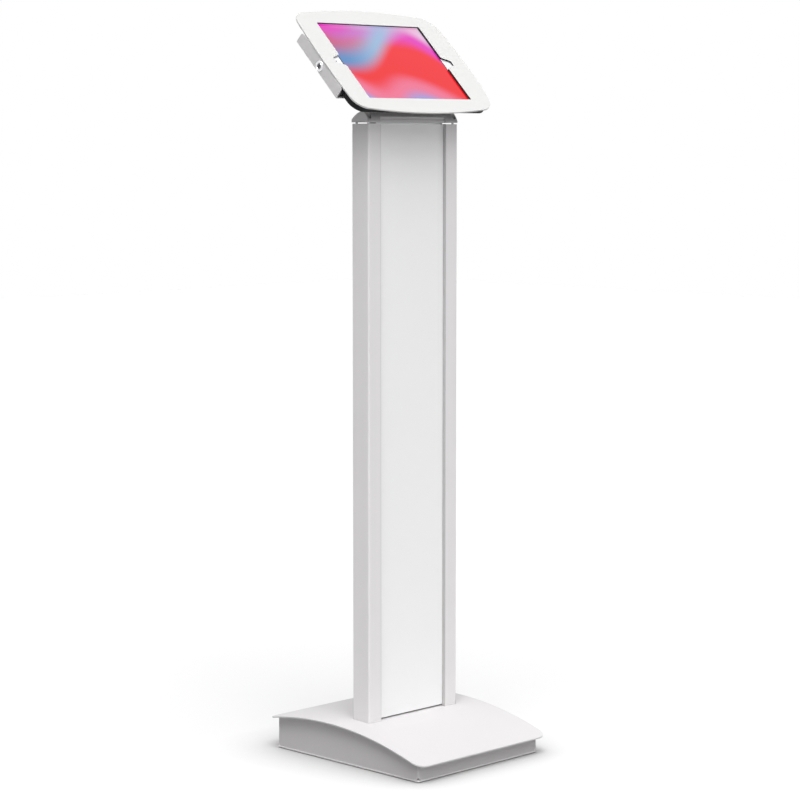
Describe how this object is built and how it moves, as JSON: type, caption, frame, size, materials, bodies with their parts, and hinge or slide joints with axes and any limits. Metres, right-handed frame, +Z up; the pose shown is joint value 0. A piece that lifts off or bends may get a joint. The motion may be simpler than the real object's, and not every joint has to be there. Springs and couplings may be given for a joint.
{
  "type": "tablet floor stand",
  "caption": "Floor stand that holds a tablet at desk height in a tilted, hinged and lockable frame, on a flat column with a weighted base.",
  "frame": {"origin": "on the floor, under the middle of the base's outline", "axes": "+Z up, the front and the screen face -Y, +X is to the right seen from the front"},
  "size_m": [0.296, 0.316, 1.0868],
  "materials": {
    "white_paint": "satin powder coat",
    "post_paint": "satin paint on extruded aluminium",
    "panel_white": "polished sheet",
    "inner_steel": "zinc plated",
    "ballast_paint": "matt primer",
    "black_plastic": "fine moulded grain",
    "black_rubber": "matt",
    "grey_foam": "open foam",
    "lock_chrome": "bright",
    "tablet_silver": "fine blasted and anodised",
    "screen_glass": "polished, over a lit display",
    "key_white": "polished"
  },
  "bodies": {
    "stand": {"base_cover": "white_paint", "base_walls": "white_paint", "base_plate": "white_paint", "rear_channel": "white_paint", "head_bracket": "white_paint", "rear_panel": "white_paint", "column_cap": "white_paint", "left_pillar": "post_paint", "right_pillar": "post_paint", "front_panel": "panel_white", "cover_screws": "inner_steel", "foot_plate_screws": "inner_steel", "foot_plate_bolts": "inner_steel", "crosshead": "inner_steel", "crosshead_screws": "inner_steel", "cap_screws": "inner_steel", "bracket_bolts": "inner_steel", "bracket_screws": "inner_steel", "tray_screws": "inner_steel", "hinge_pin": "inner_steel", "lock_nut": "inner_steel", "column_foot_plate": "inner_steel", "ballast_plate": "ballast_paint", "tablet_tray": "black_plastic", "foot_pads": "black_rubber", "cable_grommet": "black_rubber", "foam_pads": "grey_foam", "lock_body": "lock_chrome", "tablet_back": "tablet_silver", "tablet_glass": "screen_glass"},
    "frame_door": {"front_frame": "white_paint", "frame_gasket": "grey_foam"},
    "lock_core": {"lock_plug": "lock_chrome", "lock_cam": "inner_steel"},
    "home_key": {"home_key": "key_white"},
    "power_key": {"power_key": "tablet_silver"},
    "volume_up_key": {"volume_up_key": "tablet_silver"},
    "volume_down_key": {"volume_down_key": "tablet_silver"}
  },
  "joints": [
    {"name": "frame_hinge", "type": "hinge", "parent": "stand", "child": "frame_door", "pos_m": [0.1453, 0.02857, 1.00677], "axis": [0, 0.7071, 0.7071], "range_deg": [0, 105]},
    {"name": "lock_turn", "type": "hinge", "parent": "stand", "child": "lock_core", "pos_m": [-0.1425, 0.03182, 1.00069], "axis": [-1, 0, 0], "range_deg": [0, 90]},
    {"name": "home_key_press", "type": "slide", "parent": "stand", "child": "home_key", "axis": [0, 0.7071, -0.7071], "range_m": [0, 0.0004], "stiffness_N_per_m": 600},
    {"name": "power_key_press", "type": "slide", "parent": "stand", "child": "power_key", "axis": [1, 0, 0], "range_m": [0, 0.0003], "stiffness_N_per_m": 600},
    {"name": "volume_up_press", "type": "slide", "parent": "stand", "child": "volume_up_key", "axis": [0, -0.7071, -0.7071], "range_m": [0, 0.0003], "stiffness_N_per_m": 600},
    {"name": "volume_down_press", "type": "slide", "parent": "stand", "child": "volume_down_key", "axis": [0, -0.7071, -0.7071], "range_m": [0, 0.0003], "stiffness_N_per_m": 600}
  ]
}
